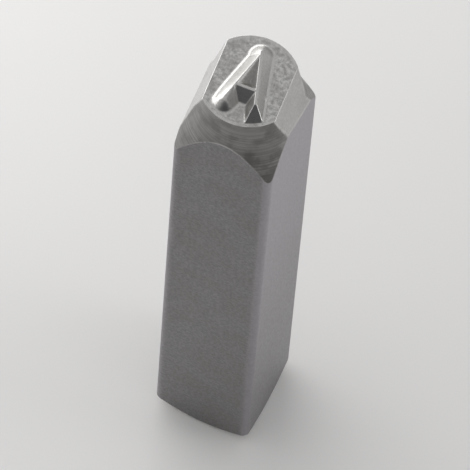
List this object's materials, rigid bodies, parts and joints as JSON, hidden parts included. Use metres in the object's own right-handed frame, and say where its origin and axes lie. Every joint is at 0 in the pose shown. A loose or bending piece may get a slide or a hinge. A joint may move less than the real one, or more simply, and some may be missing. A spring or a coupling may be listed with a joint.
{
  "type": "steel letter punch",
  "caption": "Square steel hand punch with a turned head and the letter A raised on its face, struck with a hammer to mark metal.",
  "frame": {"origin": "centre of the struck end's flat face, which the punch stands on", "axes": "+Z along the bar, towards the letter; +Y towards the letter's apex; +X to the right of the letter as it is seen on the punch"},
  "size_m": [0.0094, 0.0094, 0.065],
  "materials": {
    "tool_steel": "hardened tool steel: dull dark grey on the bar, bright where the head is turned and ground"
  },
  "bodies": {
    "root": {"letter_punch": "tool_steel"}
  },
  "joints": []
}
